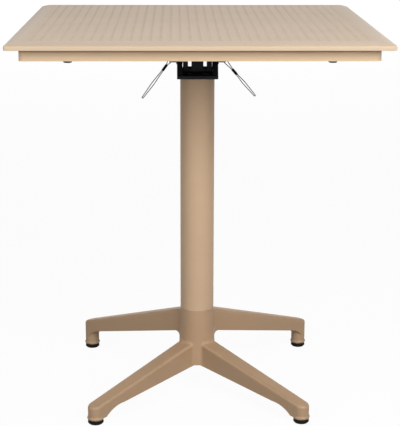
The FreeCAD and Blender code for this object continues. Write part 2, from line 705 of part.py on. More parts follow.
def make_leg(leg):
    """A solid leg with rounded upper edges and a foot boss, and what is to be cut from it."""
    body = leg_plan(leg, 0.0, 0.0, leg.reach, True).common(leg_side(leg))
    upper = [
        e for e in body.Edges
        if all(abs(v.Z - leg.top(v.X)) < 1e-4 for v in e.Vertexes)
        and max(v.X for v in e.Vertexes) > 1.0
    ]
    body = body.makeFillet(LEG_TOP_RADIUS, upper)
    boss_radius = leg.foot_width / 2
    boss_top = leg.under(leg.reach) + BOSS_OVERLAP
    lip_radius = boss_radius + LIP_EXTRA
    profile = [
        (0, BOSS_BOTTOM),
        (lip_radius - LIP_CHAMFER, BOSS_BOTTOM),
        (lip_radius, BOSS_BOTTOM + LIP_HEIGHT - LIP_FLARE),
        (boss_radius, BOSS_BOTTOM + LIP_HEIGHT),
        (boss_radius, boss_top),
        (0, boss_top),
    ]
    boss = revolved(profile, Vector(leg.reach, 0, 0))
    body = body.fuse(boss).removeSplitter()

    channel_end = leg.reach - leg.foot_width / 2 - max(leg.heel - leg.foot_width / 2, LEG_SHELL)
    channel = leg_plan(leg, LEG_SHELL, CHANNEL_START, channel_end, False)
    roof = [
        Vector(CHANNEL_START, -leg.root_width, 0),
        Vector(channel_end, -leg.root_width, 0),
        Vector(channel_end, -leg.root_width, leg.top(channel_end) - LEG_SHELL),
        Vector(CHANNEL_START, -leg.root_width, leg.top(CHANNEL_START) - LEG_SHELL),
    ]
    under_roof = closed_face(polygon_edges(roof + roof[:1])).extrude(Y_AXIS * 2 * leg.root_width)
    channel = channel.common(under_roof)
    bore = upright(leg.reach, 0, BOSS_BOTTOM, STEM_BORE_TOP, STEM_BORE_RADIUS)
    cuts = channel.fuse(bore)
    for shape in (body, cuts):
        shape.rotate(ORIGIN, Z_AXIS, leg.turn)
    return body, cuts


def hub_radius(z):
    """Radius of the hub's tapered wall at a height."""
    rise = (z - HUB_BOTTOM) / (HUB_TOP - HUB_BOTTOM)
    return HUB_BOTTOM_RADIUS + (COLUMN_RADIUS - HUB_BOTTOM_RADIUS) * rise


def root_edges(base, leg):
    """Edges where a leg runs into the hub's wall."""
    found = []
    for edge in base.Edges:
        points = edge.discretize(5)
        heights = [p.z for p in points]
        middle = math.degrees(math.atan2(points[2].y, points[2].x))
        aside = (middle - leg.turn + 180) % 360 - 180
        on_wall = all(abs(math.hypot(p.x, p.y) - hub_radius(p.z)) < EDGE_TOLERANCE for p in points)
        sloping = max(heights) - min(heights) > EDGE_TOLERANCE
        if on_wall and sloping and abs(aside) < ROOT_SECTOR_DEG:
            found.append(edge)
    return found


def make_base_casting():
    """Cast base: tapered hub with a spigot for the tube, and hollow-backed legs on two levels."""
    profile = [
        (0, HUB_BOTTOM),
        (HUB_BOTTOM_RADIUS, HUB_BOTTOM),
        (COLUMN_RADIUS, HUB_TOP),
        (COLUMN_RADIUS - SEAM_CHAMFER, SEAM_Z),
        (SPIGOT_RADIUS, SEAM_Z),
        (SPIGOT_RADIUS, SEAM_Z + SPIGOT_LENGTH),
        (0, SEAM_Z + SPIGOT_LENGTH),
    ]
    hub = revolved(profile)
    made = [make_leg(leg) for leg in LEGS.values()]
    base = hub.multiFuse([body for body, _ in made]).removeSplitter()
    for leg in LEGS.values():
        base = base.makeFillet(leg.root_fillet, root_edges(base, leg))
    narrow_end = HUB_CAVITY_RADIUS - HUB_CAVITY_DRAFT
    spigot_top = SEAM_Z + SPIGOT_LENGTH
    hollows = [
        Part.makeCone(HUB_CAVITY_RADIUS, narrow_end, HUB_WEB_BOTTOM, ORIGIN, Z_AXIS),
        upright(0, 0, HUB_WEB_BOTTOM, spigot_top, TIE_ROD_HOLE_RADIUS),
        upright(0, 0, SEAM_Z + SPIGOT_FLOOR, spigot_top, SPIGOT_RADIUS - SPIGOT_WALL),
    ]
    for shape in hollows + [cuts for _, cuts in made]:
        base = base.cut(shape)
    return base.removeSplitter()


def make_tie_rod():
    """Rod that runs down the column from the head to the hub's web, shown at its outside diameter."""
    bottom = HUB_WEB_BOTTOM - WASHER_THICKNESS - NUT_HEIGHT - TIE_ROD_TAIL
    return upright(0, 0, bottom, COLLAR_UNDERSIDE - TIE_ROD_GAP, TIE_ROD_RADIUS)


def make_tie_rod_washer():
    """Washer between the hub's web and the nut."""
    low = HUB_WEB_BOTTOM - WASHER_THICKNESS
    disc = upright(0, 0, low, HUB_WEB_BOTTOM, WASHER_RADIUS)
    return disc.cut(upright(0, 0, low, HUB_WEB_BOTTOM, TIE_ROD_RADIUS + WASHER_CLEARANCE))


def make_tie_rod_nut():
    """Hexagon nut under the hub's web."""
    low = HUB_WEB_BOTTOM - WASHER_THICKNESS - NUT_HEIGHT
    corner = NUT_FLATS / math.sqrt(3)
    turns = [math.radians(60 * i) for i in range(7)]
    points = [Vector(corner * math.cos(a), corner * math.sin(a), low) for a in turns]
    nut = closed_face(polygon_edges(points)).extrude(Z_AXIS * NUT_HEIGHT)
    return nut.cut(upright(0, 0, low, low + NUT_HEIGHT, TIE_ROD_RADIUS + FIT))


def make_glide_pad(leg):
    """Nylon levelling foot with a narrower neck under the boss."""
    hole = STEM_RADIUS + FIT
    neck = GLIDE_RADIUS - GLIDE_NECK_INSET
    profile = [
        (0, 0),
        (GLIDE_RADIUS - GLIDE_CHAMFER, 0),
        (GLIDE_RADIUS, GLIDE_CHAMFER),
        (GLIDE_RADIUS, GLIDE_SHOULDER),
        (neck, GLIDE_SHOULDER + GLIDE_NECK_INSET),
        (neck, GLIDE_HEIGHT),
        (hole, GLIDE_HEIGHT),
        (hole, GLIDE_STEM_SEAT),
        (0, GLIDE_STEM_SEAT),
    ]
    return revolved(profile, Vector(leg.foot[0], leg.foot[1], 0))


def make_glide_stem(leg):
    """Threaded steel stem of a glide, shown at its outside diameter."""
    return upright(leg.foot[0], leg.foot[1], GLIDE_STEM_SEAT, STEM_TOP, STEM_RADIUS)


def build():
    """Every piece of the table by its node name."""
    pieces = {
        "tabletop": make_tabletop(),
        "edge_bumpers": make_edge_bumpers(),
        "top_bracket": make_top_bracket(),
        "bracket_screws": make_bracket_screws(),
        "column_head": make_column_head(),
        "hinge_axle": make_hinge_axle(),
        "column_tube": make_column_tube(),
        "base_casting": make_base_casting(),
        "tie_rod": make_tie_rod(),
        "tie_rod_washer": make_tie_rod_washer(),
        "tie_rod_nut": make_tie_rod_nut(),
    }
    for side in SIDES:
        pieces[f"hinge_bush_{side}"] = make_hinge_bush(side)
        pieces[f"lock_sleeve_{side}"] = make_lock_sleeve(side)
        pieces[f"lock_pin_{side}"] = make_lock_pin(side)
        pieces[f"lock_spring_{side}"] = make_lock_spring(side)
        pieces[f"pull_loop_{side}"] = make_pull_loop(side)
        pieces[f"loop_ferrule_{side}"] = make_loop_ferrule(side)
    for corner, leg in LEGS.items():
        pieces[f"glide_pad_{corner}"] = make_glide_pad(leg)
        pieces[f"glide_stem_{corner}"] = make_glide_stem(leg)
    return pieces


print("least gap between spring turns", round(spring_gap(), 2), "mm")
os.makedirs("parts", exist_ok=True)
for node, shape in build().items():
    shape.exportStep(f"parts/{node}.step")
    print(node, "valid", shape.isValid(), "solids", len(shape.Solids), "volume", round(shape.Volume))
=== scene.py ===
import logging
import math
from dataclasses import dataclass
from enum import Enum
from typing import Callable, Optional, Sequence, Union

import bpy
from mathutils import Matrix, Vector


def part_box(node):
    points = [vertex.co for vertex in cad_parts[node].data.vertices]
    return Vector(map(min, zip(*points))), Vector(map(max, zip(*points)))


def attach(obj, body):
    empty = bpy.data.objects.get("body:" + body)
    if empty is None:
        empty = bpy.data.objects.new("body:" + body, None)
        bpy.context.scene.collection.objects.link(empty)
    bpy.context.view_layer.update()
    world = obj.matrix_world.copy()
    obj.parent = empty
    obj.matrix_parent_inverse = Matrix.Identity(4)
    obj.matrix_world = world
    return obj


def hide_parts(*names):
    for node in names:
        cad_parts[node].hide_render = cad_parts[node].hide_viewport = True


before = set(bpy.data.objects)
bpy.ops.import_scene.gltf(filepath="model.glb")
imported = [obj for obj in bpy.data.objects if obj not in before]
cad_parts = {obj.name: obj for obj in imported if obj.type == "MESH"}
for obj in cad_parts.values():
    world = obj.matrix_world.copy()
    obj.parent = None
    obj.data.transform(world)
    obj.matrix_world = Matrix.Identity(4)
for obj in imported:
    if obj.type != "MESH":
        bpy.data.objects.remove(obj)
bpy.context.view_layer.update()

LOG = logging.getLogger("balcony_table")

# Points closer than this, in metres, are one point.
MERGE_DISTANCE = 1e-5
# Faces that meet at less than the first angle are one face, and at less than the second are shaded
# as one. Edges that turn by more than the third are rounded, with this many faces across.
FLAT_DEGREES = 1.0
SMOOTH_DEGREES = 32.0
SHARP_DEGREES = 40.0
ROUNDING_FACES = 3
# The least Z of the normal of a face that looks straight up.
FACING_UP = 0.999
QUARTER_TURN = math.pi / 2
# Places of a Mix node's colour sockets, which share their names with its other sockets.
MIX_FACTOR, MIX_FIRST, MIX_SECOND, MIX_RESULT = 0, 6, 7, 2

Piece = bpy.types.Object
Face = bpy.types.MeshPolygon
Material = bpy.types.Material
Colour = tuple[float, float, float]
Stretch = tuple[float, float, float]
Span = tuple[float, float]
Ring = tuple[float, float]

WHITE: Colour = (1.0, 1.0, 1.0)


class Body(Enum):
    """The bodies of the table that carry new pieces."""

    BASE = "base"
    TOP = "top"
    LOOP_LEFT = "loop_left"
    LOOP_RIGHT = "loop_right"
    GLIDE_FRONT_LEFT = "glide_front_left"
    GLIDE_FRONT_RIGHT = "glide_front_right"
    GLIDE_REAR_LEFT = "glide_rear_left"
    GLIDE_REAR_RIGHT = "glide_rear_right"


class Slot(Enum):
    """The record's material slots, one named for each new piece."""

    RESIN = "resin_top"
    BLACK = "black_casting"
    STEEL = "steel"
    NYLON = "nylon"
    RUBBER = "rubber"


class Side(Enum):
    """The two sides that carry a lock pin and a pull loop."""

    LEFT = "left"
    RIGHT = "right"


class Corner(Enum):
    """The four feet."""

    FRONT_LEFT = "front_left"
    FRONT_RIGHT = "front_right"
    REAR_LEFT = "rear_left"
    REAR_RIGHT = "rear_right"


class Value:
    """A shader socket that takes part in Python expressions."""

    def __init__(self, graph: "Graph", socket: bpy.types.NodeSocket) -> None:
        """Wrap an output socket of a graph."""
        self.graph = graph
        self.socket = socket

    def _math(self, operation: str, first: "Operand", second: "Operand") -> "Value":
        """Add one Math node.

        Args:
            operation: Name of the Math node's operation.
            first: Left operand.
            second: Right operand.

        Returns:
            The node's result.
        """
        return self.graph.node("ShaderNodeMath", {"operation": operation}, {0: first, 1: second})

    def __add__(self, other: "Operand") -> "Value":
        """Sum."""
        return self._math("ADD", self, other)

    def __radd__(self, other: "Operand") -> "Value":
        """Sum, with the number first."""
        return self._math("ADD", other, self)

    def __sub__(self, other: "Operand") -> "Value":
        """Difference."""
        return self._math("SUBTRACT", self, other)

    def __rsub__(self, other: "Operand") -> "Value":
        """Difference, with the number first."""
        return self._math("SUBTRACT", other, self)

    def __mul__(self, other: "Operand") -> "Value":
        """Product."""
        return self._math("MULTIPLY", self, other)

    def __rmul__(self, other: "Operand") -> "Value":
        """Product, with the number first."""
        return self._math("MULTIPLY", other, self)

    def __abs__(self) -> "Value":
        """Size without its sign."""
        return self._math("ABSOLUTE", self, 0.0)

    def larger(self, other: "Operand") -> "Value":
        """The larger of two values."""
        return self._math("MAXIMUM", self, other)

    def step(self, span: Span) -> "Value":
        """Smooth step up from 0 to 1.

        Args:
            span: Values where the step starts and ends.

        Returns:
            The step, between 0 and 1.
        """
        settings = {"interpolation_type": "SMOOTHSTEP"}
        inputs = {"Value": self, "From Min": span[0], "From Max": span[1]}
        return self.graph.node("ShaderNodeMapRange", settings, inputs)

    def between(self, rise: Span, fall: Span) -> "Value":
        """Smooth step up from 0 to 1, and down again further on.

        Args:
            rise: Values where the step up starts and ends.
            fall: Values where the step down starts and ends.

        Returns:
            The band, between 0 and 1.
        """
        return self.step(rise) * (1.0 - self.step(fall))


Operand = Union[Value, float]


@dataclass(frozen=True)
class Pattern:
    """Soft noise, by the size of its features in metres and their stretch along X, Y and Z.

    The detail is the number of finer layers, and rough is their weight.
    """

    size: float
    detail: float = 3.0
    rough: float = 0.5
    stretch: Stretch = (1.0, 1.0, 1.0)


@dataclass(frozen=True)
class Relief:
    """A fine relief: its real depth in metres, and how much of it shows."""

    depth: float
    strength: float


class Graph:
    """The node tree of one material or of the world."""

    def __init__(self, owner: Union[Material, bpy.types.World], shader: str) -> None:
        """Take the node tree of a new material or world.

        Args:
            owner: The material or world.
            shader: Name of the shader node that it starts with.
        """
        owner.use_nodes = True
        self.tree = owner.node_tree
        self.shader = self.tree.nodes[shader]

    def feed(self, socket: bpy.types.NodeSocket, value: Union[Operand, Sequence[float]]) -> None:
        """Link a value to a socket, or set the socket's own number or colour.

        Args:
            socket: The input socket.
            value: A value of this graph, a number, a colour or a vector.
        """
        if isinstance(value, Value):
            self.tree.links.new(value.socket, socket)
        elif socket.type == "RGBA":
            socket.default_value = (*value, 1.0)
        else:
            socket.default_value = value

    def node(
        self,
        kind: str,
        settings: Optional[dict] = None,
        inputs: Optional[dict] = None,
        output: Union[int, str] = 0,
    ) -> Value:
        """Add a node.

        Args:
            kind: The node's type.
            settings: Properties that are set first.
            inputs: Numbers, colours or links by socket name or place.
            output: Name or place of the output that is wanted.

        Returns:
            That output.
        """
        made = self.tree.nodes.new(kind)
        for key, setting in (settings or {}).items():
            setattr(made, key, setting)
        for key, value in (inputs or {}).items():
            self.feed(made.inputs[key], value)
        return Value(self, made.outputs[output])

    def place(self) -> Value:
        """Object coordinates, in metres in the table's own frame."""
        return self.node("ShaderNodeTexCoord", output="Object")

    def axes(self) -> tuple[Value, Value, Value]:
        """Split the object coordinates.

        Returns:
            Their X, Y and Z.
        """
        split = self.node("ShaderNodeSeparateXYZ", inputs={0: self.place()})
        outputs = split.socket.node.outputs
        return Value(self, outputs[0]), Value(self, outputs[1]), Value(self, outputs[2])

    def noise(self, pattern: Pattern) -> Value:
        """Add a soft noise.

        Args:
            pattern: The noise's features.

        Returns:
            The noise, between 0 and 1.
        """
        scale = tuple(1.0 / (pattern.size * part) for part in pattern.stretch)
        where = self.node("ShaderNodeMapping", inputs={"Vector": self.place(), "Scale": scale})
        inputs = {"Scale": 1.0, "Detail": pattern.detail, "Roughness": pattern.rough}
        return self.node("ShaderNodeTexNoise", inputs={"Vector": where, **inputs})

    def mix(
        self, factor: Operand, first: Union[Value, Colour], second: Union[Value, Colour]
    ) -> Value:
        """Mix two colours.

        Args:
            factor: 0 for the first colour, 1 for the second.
            first: First colour.
            second: Second colour.

        Returns:
            The mixed colour.
        """
        inputs = {MIX_FACTOR: factor, MIX_FIRST: first, MIX_SECOND: second}
        return self.node("ShaderNodeMix", {"data_type": "RGBA"}, inputs, MIX_RESULT)

    def normal(self, height: Value, relief: Relief) -> Value:
        """Normal of a surface with a height map.

        Args:
            height: The height, between 0 and 1.
            relief: How deep the map is.

        Returns:
            The normal.
        """
        inputs = {"Strength": relief.strength, "Distance": relief.depth, "Height": height}
        return self.node("ShaderNodeBump", inputs=inputs)

    def seen_white(self) -> Value:
        """Find the rays that show a white backdrop: from the camera, in gloss or through glass.

        Returns:
            1 for these rays, 0 for those that carry light from one surface to another.
        """
        path = self.node("ShaderNodeLightPath").socket.node.outputs
        names = ("Is Camera Ray", "Is Glossy Ray", "Is Transmission Ray")
        camera, gloss, through = (Value(self, path[name]) for name in names)
        return camera.larger(gloss).larger(through)

    def surface(self, **sockets: Union[Operand, Sequence[float]]) -> None:
        """Feed the first shader, by socket names with underscores for spaces.

        Args:
            sockets: Values, numbers or colours for the shader's sockets.
        """
        for name, value in sockets.items():
            self.feed(self.shader.inputs[name.replace("_", " ")], value)


def new_finish(name: str) -> tuple[Material, Graph]:
    """Start a material.

    Args:
        name: The material's name.

    Returns:
        The material and its node tree.
    """
    material = bpy.data.materials.new(name)
    return material, Graph(material, "Principled BSDF")


# In the finishes, a span is where a mask fades in or out, a share is the most that a mask lays on
# of its colour, and what a pattern adds to the roughness or the height is named after both.


@dataclass(frozen=True)
class MouldedResin:
    """Sand-coloured resin with a fine moulded grain, smoother at its rim.

    Painted shade, with some dust, darkens the dimples and warms the skirt, and a painted shadow
    lies under the rim. The dimples' spans are depths below the top. The skirt's span and the
    groove's first two are heights above the rim's underside. The other places are distances in
    from the top's side.
    """

    light: Colour = (0.724, 0.548, 0.39)
    dark: Colour = (0.65, 0.487, 0.342)
    flow: Pattern = Pattern(0.09, detail=2.0, stretch=(3.0, 1.0, 1.0))
    flow_span: Span = (0.3, 0.7)
    flow_share: float = 0.4
    speck: Pattern = Pattern(0.0032, detail=2.0)
    speck_span: Span = (0.35, 0.75)
    speck_share: float = 0.28
    grain: Pattern = Pattern(0.0011, detail=4.0, rough=0.6)
    top_height: float = 0.75
    rim_underside: float = 0.737
    half_side: float = 0.335
    # Dust and painted shade in the dimples, which darken their lit walls.
    dust_and_shade: Colour = (0.4, 0.305, 0.215)
    dust_and_shade_share: float = 0.95
    dimple_start: Span = (0.00002, 0.0003)
    dimple_end: Span = (0.0028, 0.003)
    field_end: Span = (0.034, 0.032)
    # A warmer painted shade on the skirt below the rim.
    skirt: Colour = (0.785, 0.565, 0.345)
    skirt_share: float = 0.6
    skirt_end: Span = (-0.004, -0.001)
    # Painted shadow that the rim casts on the top of the skirt, in the groove under it.
    rim_shadow: Colour = (0.43, 0.235, 0.12)
    rim_shadow_share: float = 0.65
    groove_start: Span = (-0.0057, -0.0045)
    groove_end: Span = (0.0005, 0.001)
    groove_mouth: Span = (0.01, 0.005)
    border: Colour = (0.72, 0.59, 0.46)
    border_share: float = 0.6
    border_start: Span = (0.033, 0.02)
    border_end: Span = (0.008, 0.002)
    rim: Colour = (0.665, 0.51, 0.357)
    rim_share: float = 0.9
    rim_start: Span = (0.002, 0.0005)
    rough: float = 0.4
    grain_rough: float = 0.1
    rim_polish: float = 0.1
    grain_height: float = 0.7
    speck_height: float = 0.3
    relief: Relief = Relief(0.00022, 0.5)
    gloss: float = 0.45

    def inwards(self, span: Span) -> Span:
        """Turn distances in from the top's side into distances from its middle."""
        return self.half_side - span[0], self.half_side - span[1]

    def upwards(self, span: Span) -> Span:
        """Turn heights above the rim's underside into heights above the floor."""
        return self.rim_underside + span[0], self.rim_underside + span[1]

    def material(self) -> Material:
        """Build the material.

        Returns:
            The material.
        """
        material, graph = new_finish("moulded_resin")
        x, y, z = graph.axes()
        depth = self.top_height - z
        outwards = abs(x).larger(abs(y))
        flow = graph.noise(self.flow)
        grain = graph.noise(self.grain)
        speck = graph.noise(self.speck)

        darker = flow.step(self.flow_span) * self.flow_share
        darker = darker + speck.step(self.speck_span) * self.speck_share
        colour = graph.mix(darker, self.light, self.dark)

        # Dust and painted shade darken the dimples.
        dimple = depth.between(self.dimple_start, self.dimple_end)
        dimple = dimple * (1.0 - outwards.step(self.inwards(self.field_end)))
        colour = graph.mix(dimple * self.dust_and_shade_share, colour, self.dust_and_shade)

        # Painted shade: the skirt below the rim is tinted warmer.
        below = 1.0 - z.step(self.upwards(self.skirt_end))
        colour = graph.mix(below * self.skirt_share, colour, self.skirt)

        # Painted shadow under the rim, in the groove above the skirt.
        groove = z.between(self.upwards(self.groove_start), self.upwards(self.groove_end))
        groove = groove * (1.0 - outwards.step(self.inwards(self.groove_mouth)))
        colour = graph.mix(groove * self.rim_shadow_share, colour, self.rim_shadow)

        border = outwards.between(self.inwards(self.border_start), self.inwards(self.border_end))
        border = border * (1.0 - below)
        colour = graph.mix(border * self.border_share, colour, self.border)

        rim = outwards.step(self.inwards(self.rim_start))
        colour = graph.mix(rim * self.rim_share, colour, self.rim)

        graph.surface(
            Base_Color=colour,
            Roughness=self.rough + grain * self.grain_rough - rim * self.rim_polish,
            Normal=graph.normal(grain * self.grain_height + speck * self.speck_height, self.relief),
            Specular_IOR_Level=self.gloss,
        )
        return material


@dataclass(frozen=True)
class PowderCoat:
    """Taupe powder coat: fine orange-peel relief, faint clouding and dust low down."""

    name: str = "powder_coat"
    light: Colour = (0.627, 0.438, 0.281)
    dark: Colour = (0.56, 0.388, 0.247)
    cloud: Pattern = Pattern(0.06)
    cloud_span: Span = (0.3, 0.75)
    cloud_share: float = 0.45
    speck: Pattern = Pattern(0.0006, detail=1.0)
    speck_span: Span = (0.45, 0.7)
    speck_share: float = 0.2
    peel: Pattern = Pattern(0.0013, detail=2.0, rough=0.45)
    # The dust colour here is real dust low down, with no painted shade.
    dust_and_shade: Colour = (0.52, 0.42, 0.32)
    dust_end: Span = (0.012, 0.06)
    dust_span: Span = (0.35, 0.65)
    dust_and_shade_share: float = 0.14
    rough: float = 0.44
    peel_rough: float = 0.14
    dust_rough: float = 0.1
    peel_height: float = 0.8
    speck_height: float = 0.2
    relief: Relief = Relief(0.00025, 0.45)
    gloss: float = 0.45

    def material(self) -> Material:
        """Build the material.

        Returns:
            The material.
        """
        material, graph = new_finish(self.name)
        _, _, z = graph.axes()
        cloud = graph.noise(self.cloud)
        peel = graph.noise(self.peel)
        speck = graph.noise(self.speck)
        darker = cloud.step(self.cloud_span) * self.cloud_share
        darker = darker + speck.step(self.speck_span) * self.speck_share
        colour = graph.mix(darker, self.light, self.dark)
        dusty = (1.0 - z.step(self.dust_end)) * cloud.step(self.dust_span)
        graph.surface(
            Base_Color=graph.mix(dusty * self.dust_and_shade_share, colour, self.dust_and_shade),
            Roughness=self.rough + peel * self.peel_rough + dusty * self.dust_rough,
            Normal=graph.normal(peel * self.peel_height + speck * self.speck_height, self.relief),
            Specular_IOR_Level=self.gloss,
        )
        return material


@dataclass(frozen=True)
class BlackCasting:
    """Satin black coat over a cast surface, rubbed greyer in patches."""

    deep: Colour = (0.003, 0.003, 0.0032)
    rubbed: Colour = (0.010, 0.0098, 0.0095)
    patch: Pattern = Pattern(0.014)
    patch_span: Span = (0.45, 0.75)
    patch_share: float = 0.7
    skin: Pattern = Pattern(0.0009, rough=0.55)
    rough: float = 0.46
    skin_rough: float = 0.16
    patch_rough: float = 0.08
    relief: Relief = Relief(0.0003, 0.5)
    gloss: float = 0.2

    def material(self) -> Material:
        """Build the material.

        Returns:
            The material.
        """
        material, graph = new_finish("black_casting")
        patch = graph.noise(self.patch)
        skin = graph.noise(self.skin)
        worn = patch.step(self.patch_span) * self.patch_share
        graph.surface(
            Base_Color=graph.mix(worn, self.deep, self.rubbed),
            Roughness=self.rough + skin * self.skin_rough + patch * self.patch_rough,
            Normal=graph.normal(skin, self.relief),
            Specular_IOR_Level=self.gloss,
        )
        return material


@dataclass(frozen=True)
class PlatedSteel:
    """Zinc-plated steel with fine turning marks across its length and a faint haze."""

    bright: Colour = (0.55, 0.55, 0.56)
    hazed: Colour = (0.40, 0.39, 0.38)
    haze: Pattern = Pattern(0.008)
    haze_span: Span = (0.35, 0.7)
    marks: Pattern = Pattern(0.0012, detail=2.0, stretch=(0.2, 3.0, 3.0))
    rough: float = 0.26
    haze_rough: float = 0.16
    mark_rough: float = 0.08
    relief: Relief = Relief(0.0001, 0.4)
    metal: float = 1.0

    def material(self) -> Material:
        """Build the material.

        Returns:
            The material.
        """
        material, graph = new_finish("plated_steel")
        haze = graph.noise(self.haze)
        marks = graph.noise(self.marks)
        graph.surface(
            Base_Color=graph.mix(haze.step(self.haze_span), self.bright, self.hazed),
            Roughness=self.rough + haze * self.haze_rough + marks * self.mark_rough,
            Metallic=self.metal,
            Normal=graph.normal(marks, self.relief),
        )
        return material


@dataclass(frozen=True)
class DrawnWire:
    """Dark stainless wire, dulled by drawing."""

    bright: Colour = (0.19, 0.19, 0.19)
    dull: Colour = (0.085, 0.084, 0.083)
    streak: Pattern = Pattern(0.0008, stretch=(3.0, 0.5, 4.0))
    streak_span: Span = (0.35, 0.7)
    streak_share: float = 0.6
    cloud: Pattern = Pattern(0.01, detail=2.0)
    cloud_share: float = 0.3
    rough: float = 0.36
    streak_rough: float = 0.15
    relief: Relief = Relief(0.00008, 0.4)
    metal: float = 0.7

    def material(self) -> Material:
        """Build the material.

        Returns:
            The material.
        """
        material, graph = new_finish("drawn_wire")
        streak = graph.noise(self.streak)
        cloud = graph.noise(self.cloud)
        duller = streak.step(self.streak_span) * self.streak_share + cloud * self.cloud_share
        graph.surface(
            Base_Color=graph.mix(duller, self.bright, self.dull),
            Roughness=self.rough + streak * self.streak_rough,
            Metallic=self.metal,
            Normal=graph.normal(streak, self.relief),
        )
        return material


@dataclass(frozen=True)
class MouldedNylon:
    """Black nylon, a little scuffed near the floor."""

    fresh: Colour = (0.003, 0.003, 0.0032)
    scuffed: Colour = (0.026, 0.025, 0.024)
    skin: Pattern = Pattern(0.0007)
    skin_share: float = 0.06
    patch: Pattern = Pattern(0.005)
    patch_span: Span = (0.45, 0.65)
    scuff_end: Span = (0.001, 0.004)
    scuff_share: float = 0.6
    rough: float = 0.46
    skin_rough: float = 0.16
    scuff_rough: float = 0.2
    relief: Relief = Relief(0.0002, 0.4)
    gloss: float = 0.1

    def material(self) -> Material:
        """Build the material.

        Returns:
            The material.
        """
        material, graph = new_finish("moulded_nylon")
        _, _, z = graph.axes()
        skin = graph.noise(self.skin)
        patch = graph.noise(self.patch)
        scuff = (1.0 - z.step(self.scuff_end)) * patch.step(self.patch_span)
        paler = scuff * self.scuff_share + skin * self.skin_share
        graph.surface(
            Base_Color=graph.mix(paler, self.fresh, self.scuffed),
            Roughness=self.rough + skin * self.skin_rough + scuff * self.scuff_rough,
            Normal=graph.normal(skin, self.relief),
            Specular_IOR_Level=self.gloss,
        )
        return material


@dataclass(frozen=True)
class SoftRubber:
    """Matt black rubber with a pale bloom."""

    fresh: Colour = (0.011, 0.011, 0.011)
    bloom: Colour = (0.04, 0.039, 0.037)
    skin: Pattern = Pattern(0.0008)
    patch: Pattern = Pattern(0.006, detail=2.0)
    patch_span: Span = (0.4, 0.75)
    patch_share: float = 0.5
    rough: float = 0.68
    skin_rough: float = 0.14
    relief: Relief = Relief(0.0002, 0.4)

    def material(self) -> Material:
        """Build the material.

        Returns:
            The material.
        """
        material, graph = new_finish("soft_rubber")
        skin = graph.noise(self.skin)
        paler = graph.noise(self.patch).step(self.patch_span) * self.patch_share
        graph.surface(
            Base_Color=graph.mix(paler, self.fresh, self.bloom),
            Roughness=self.rough + skin * self.skin_rough,
            Normal=graph.normal(skin, self.relief),
        )
        return material


class Finishes:
    """The table's materials, each made once. The rods' steel has its marks across their height."""

    def __init__(self) -> None:
        """Make the materials."""
        # Painted shade: the casting's coat is a darker, redder copy of the column's coat, as the
        # base gets less light.
        cast = PowderCoat("shaded_cast_coat", light=(0.484, 0.316, 0.19), dark=(0.434, 0.282, 0.166))
        rod = PlatedSteel(marks=Pattern(0.0012, detail=2.0, stretch=(3.0, 3.0, 0.2)))
        self.resin = MouldedResin().material()
        self.coat = PowderCoat().material()
        self.shaded_cast_coat = cast.material()
        self.black = BlackCasting().material()
        self.steel = PlatedSteel().material()
        self.rod_steel = rod.material()
        self.wire = DrawnWire().material()
        self.nylon = MouldedNylon().material()
        self.rubber = SoftRubber().material()


def only_select(*pieces: Piece) -> None:
    """Leave edit mode, and select these pieces and nothing else, the last one active.

    Args:
        pieces: The pieces to select.
    """
    if bpy.context.object is not None and bpy.context.object.mode != "OBJECT":
        bpy.ops.object.mode_set(mode="OBJECT")
    bpy.ops.object.select_all(action="DESELECT")
    for piece in pieces:
        piece.select_set(True)
        bpy.context.view_layer.objects.active = piece


def edit(piece: Piece, mode: str = "FACE") -> None:
    """Enter edit mode on one piece with nothing selected.

    Args:
        piece: The piece.
        mode: VERT, EDGE or FACE.
    """
    only_select(piece)
    bpy.ops.object.mode_set(mode="EDIT")
    bpy.ops.mesh.select_mode(type=mode)
    bpy.ops.mesh.select_all(action="DESELECT")


def pick_faces(piece: Piece, test: Callable[[Face], bool]) -> None:
    """Select the faces that pass a test, and stay in edit mode.

    Args:
        piece: The piece.
        test: Says whether a face is wanted.
    """
    edit(piece)
    bpy.ops.object.mode_set(mode="OBJECT")
    for face in piece.data.polygons:
        face.select = test(face)
    bpy.ops.object.mode_set(mode="EDIT")


def pick_points(piece: Piece, test: Callable[[Vector], bool]) -> None:
    """Select the points that pass a test, and stay in edit mode.

    Args:
        piece: The piece.
        test: Says whether a point at a place is wanted.
    """
    edit(piece, "VERT")
    bpy.ops.object.mode_set(mode="OBJECT")
    for point in piece.data.vertices:
        point.select = test(point.co)
    bpy.ops.object.mode_set(mode="EDIT")


def pick_open_edges(piece: Piece) -> None:
    """Select the edges round a piece's openings, and stay in edit mode.

    Args:
        piece: The piece.
    """
    edit(piece, "EDGE")
    bpy.ops.mesh.select_non_manifold(
        use_wire=False, use_multi_face=False, use_non_contiguous=False, use_verts=False
    )


def merged_copy(node: str, name: str) -> Piece:
    """Copy a node of the frame as a new piece with its doubled points merged.

    Args:
        node: Name of the node.
        name: Name of the new piece.

    Returns:
        The new piece.
    """
    piece = bpy.data.objects.new(name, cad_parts[node].data.copy())
    bpy.context.scene.collection.objects.link(piece)
    piece.data.materials.clear()
    edit(piece)
    bpy.ops.mesh.select_all(action="SELECT")
    bpy.ops.mesh.remove_doubles(threshold=MERGE_DISTANCE)
    bpy.ops.mesh.dissolve_limited(angle_limit=math.radians(FLAT_DEGREES))
    bpy.ops.object.mode_set(mode="OBJECT")
    return piece


def apply_modifiers(piece: Piece) -> None:
    """Apply all of a piece's modifiers in order.

    Args:
        piece: The piece.
    """
    only_select(piece)
    for modifier in list(piece.modifiers):
        bpy.ops.object.modifier_apply(modifier=modifier.name)


def smooth(piece: Piece, degrees: float = SMOOTH_DEGREES) -> None:
    """Shade a piece smooth where its faces meet at less than an angle, large faces first.

    Args:
        piece: The piece.
        degrees: The angle.
    """
    only_select(piece)
    bpy.ops.object.shade_smooth_by_angle(angle=math.radians(degrees))
    weighted = piece.modifiers.new("weighted", "WEIGHTED_NORMAL")
    weighted.keep_sharp = True
    apply_modifiers(piece)


